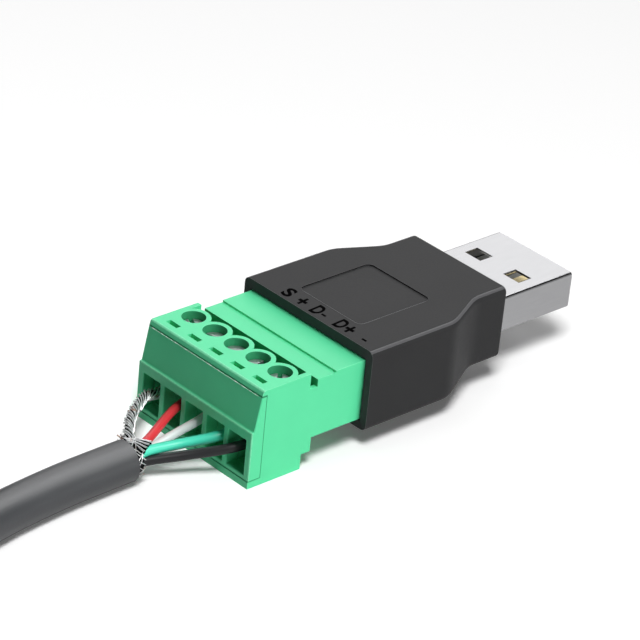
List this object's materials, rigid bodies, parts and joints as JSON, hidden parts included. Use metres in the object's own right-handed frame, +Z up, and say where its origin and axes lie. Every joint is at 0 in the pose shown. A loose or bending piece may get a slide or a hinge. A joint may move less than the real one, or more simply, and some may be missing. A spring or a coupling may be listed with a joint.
{
  "type": "usb plug to screw terminal adapter",
  "caption": "Black tapered case with a USB type-A plug at one end and a green pluggable screw terminal block at the other, with a shielded grey cable wired into it",
  "frame": {"origin": "on the surface it lies on, below the middle of the object without its cable", "axes": "+X towards the USB plug's tip, +Y to the shield's pole, +Z up through the screw heads"},
  "size_m": [0.1308, 0.0668, 0.0157],
  "materials": {
    "case_plastic": "fine matte",
    "green_plastic": "satin",
    "nickel_steel": "bright nickel",
    "white_plastic": "matte",
    "plated_brass": "gold plated",
    "screw_steel": "zinc plated",
    "cage_steel": "zinc plated",
    "board_laminate": "solder mask",
    "braid_metal": "tinned strands",
    "red_sleeve": "satin",
    "white_sleeve": "satin",
    "green_sleeve": "satin",
    "black_sleeve": "satin",
    "grey_jacket": "satin",
    "tie_plastic": "matte",
    "grip_plastic": "matte"
  },
  "bodies": {
    "housing": {"case": "case_plastic", "header_base": "case_plastic", "header_pin_1": "plated_brass", "header_pin_2": "plated_brass", "header_pin_3": "plated_brass", "header_pin_4": "plated_brass", "header_pin_5": "plated_brass", "board": "board_laminate", "usb_shell": "nickel_steel", "usb_insulator": "white_plastic", "usb_contact_1": "plated_brass", "usb_contact_2": "plated_brass", "usb_contact_3": "plated_brass", "usb_contact_4": "plated_brass"},
    "terminal_plug": {"plug_body": "green_plastic", "plug_cover": "green_plastic", "fork_1": "plated_brass", "fork_2": "plated_brass", "fork_3": "plated_brass", "fork_4": "plated_brass", "fork_5": "plated_brass", "shield_twist": "braid_metal", "wire_red": "red_sleeve", "wire_white": "white_sleeve", "wire_green": "green_sleeve", "wire_black": "black_sleeve", "braid_collar": "braid_metal", "cable_lead": "grey_jacket", "cable_coil": "grey_jacket", "cable_tail": "grey_jacket", "cable_tie": "tie_plastic", "device_grip": "grip_plastic", "device_shell": "nickel_steel", "device_core": "white_plastic"},
    "screw_1": {"clamp_screw_1": "screw_steel"},
    "cage_1": {"clamp_cage_1": "cage_steel"},
    "screw_2": {"clamp_screw_2": "screw_steel"},
    "cage_2": {"clamp_cage_2": "cage_steel"},
    "screw_3": {"clamp_screw_3": "screw_steel"},
    "cage_3": {"clamp_cage_3": "cage_steel"},
    "screw_4": {"clamp_screw_4": "screw_steel"},
    "cage_4": {"clamp_cage_4": "cage_steel"},
    "screw_5": {"clamp_screw_5": "screw_steel"},
    "cage_5": {"clamp_cage_5": "cage_steel"}
  },
  "joints": [
    {"name": "plug_slide", "type": "slide", "parent": "housing", "child": "terminal_plug", "axis": [-1, 0, 0], "range_m": [0, 0.01]},
    {"name": "screw_1_turn", "type": "hinge", "parent": "terminal_plug", "child": "screw_1", "pos_m": [-0.0153, 0.007, 0.009], "axis": [0, 0, 1], "range_deg": [0, 1260]},
    {"name": "cage_1_fall", "type": "slide", "parent": "terminal_plug", "child": "cage_1", "axis": [0, 0, -1], "range_m": [0, 0.0014]},
    {"name": "screw_2_turn", "type": "hinge", "parent": "terminal_plug", "child": "screw_2", "pos_m": [-0.0153, 0.0035, 0.009], "axis": [0, 0, 1], "range_deg": [0, 1260]},
    {"name": "cage_2_fall", "type": "slide", "parent": "terminal_plug", "child": "cage_2", "axis": [0, 0, -1], "range_m": [0, 0.0014]},
    {"name": "screw_3_turn", "type": "hinge", "parent": "terminal_plug", "child": "screw_3", "pos_m": [-0.0153, 0, 0.009], "axis": [0, 0, 1], "range_deg": [0, 1260]},
    {"name": "cage_3_fall", "type": "slide", "parent": "terminal_plug", "child": "cage_3", "axis": [0, 0, -1], "range_m": [0, 0.0014]},
    {"name": "screw_4_turn", "type": "hinge", "parent": "terminal_plug", "child": "screw_4", "pos_m": [-0.0153, -0.0035, 0.009], "axis": [0, 0, 1], "range_deg": [0, 1260]},
    {"name": "cage_4_fall", "type": "slide", "parent": "terminal_plug", "child": "cage_4", "axis": [0, 0, -1], "range_m": [0, 0.0014]},
    {"name": "screw_5_turn", "type": "hinge", "parent": "terminal_plug", "child": "screw_5", "pos_m": [-0.0153, -0.007, 0.009], "axis": [0, 0, 1], "range_deg": [0, 1260]},
    {"name": "cage_5_fall", "type": "slide", "parent": "terminal_plug", "child": "cage_5", "axis": [0, 0, -1], "range_m": [0, 0.0014]}
  ],
  "couplings": [
    {"joint": "screw_1_turn", "follows": "cage_1_fall", "rad_per_m": 15708},
    {"joint": "screw_2_turn", "follows": "cage_2_fall", "rad_per_m": 15708},
    {"joint": "screw_3_turn", "follows": "cage_3_fall", "rad_per_m": 15708},
    {"joint": "screw_4_turn", "follows": "cage_4_fall", "rad_per_m": 15708},
    {"joint": "screw_5_turn", "follows": "cage_5_fall", "rad_per_m": 15708}
  ]
}
